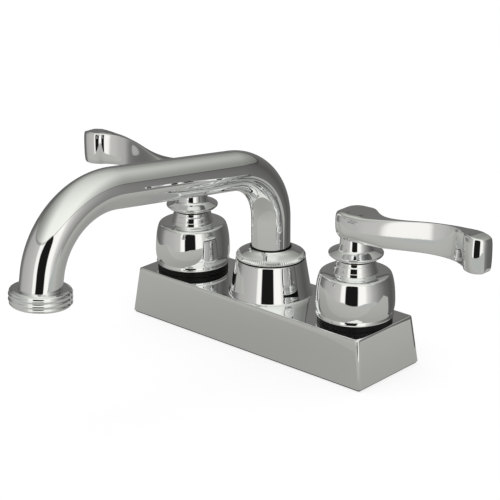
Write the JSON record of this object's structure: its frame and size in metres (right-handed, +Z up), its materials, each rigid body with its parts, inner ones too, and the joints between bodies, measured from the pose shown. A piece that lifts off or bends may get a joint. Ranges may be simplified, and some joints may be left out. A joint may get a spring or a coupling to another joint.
{
  "type": "utility sink faucet",
  "caption": "Deck-mounted utility sink faucet with lever handles, a swivel tube spout and a garden-hose outlet thread.",
  "frame": {"origin": "centre of the footprint on the deck, on the underside of the base gasket", "axes": "+X to the user's right handle, -Y towards the user and the outlet, +Z up"},
  "size_m": [0.2442, 0.1667, 0.1492],
  "materials": {
    "chrome": "mirror-polished chrome plate",
    "raw_brass": "machined brass",
    "black_rubber": "black moulded rubber",
    "white_nylon": "natural nylon",
    "ceramic": "lapped white ceramic",
    "steel": "zinc-plated steel",
    "grey_plastic": "moulded grey plastic"
  },
  "bodies": {
    "base": {"base_cover": "chrome", "base_gasket": "black_rubber", "bearing_ring": "white_nylon", "left_bell": "chrome", "left_bell_gasket": "black_rubber", "left_cartridge": "raw_brass", "left_fixed_disc": "ceramic", "left_inlet_shank": "raw_brass", "left_seat_seal": "black_rubber", "mounting_nuts": "grey_plastic", "mounting_washers": "steel", "right_bell": "chrome", "right_bell_gasket": "black_rubber", "right_cartridge": "raw_brass", "right_fixed_disc": "ceramic", "right_inlet_shank": "raw_brass", "right_seat_seal": "black_rubber", "spout_nut": "chrome", "waterway_body": "raw_brass"},
    "spout": {"spout_tube": "chrome", "spout_sleeve": "raw_brass", "spout_o_rings": "black_rubber", "hose_collar": "chrome"},
    "left_lever": {"left_handle": "chrome", "left_set_screw": "steel", "left_stem": "raw_brass", "left_stem_seal": "black_rubber", "left_stem_clip": "steel", "left_turning_disc": "ceramic"},
    "right_lever": {"right_handle": "chrome", "right_set_screw": "steel", "right_stem": "raw_brass", "right_stem_seal": "black_rubber", "right_stem_clip": "steel", "right_turning_disc": "ceramic"}
  },
  "joints": [
    {"name": "spout_swivel", "type": "hinge", "parent": "base", "child": "spout", "pos_m": [0, 0, 0.042], "axis": [0, 0, 1], "range_deg": [-44.6, 55.4]},
    {"name": "left_handle_turn", "type": "hinge", "parent": "base", "child": "left_lever", "pos_m": [-0.0508, 0, 0.05], "axis": [0, 0, 1], "range_deg": [0, 90]},
    {"name": "right_handle_turn", "type": "hinge", "parent": "base", "child": "right_lever", "pos_m": [0.0508, 0, 0.05], "axis": [0, 0, 1], "range_deg": [-90, 0]}
  ]
}
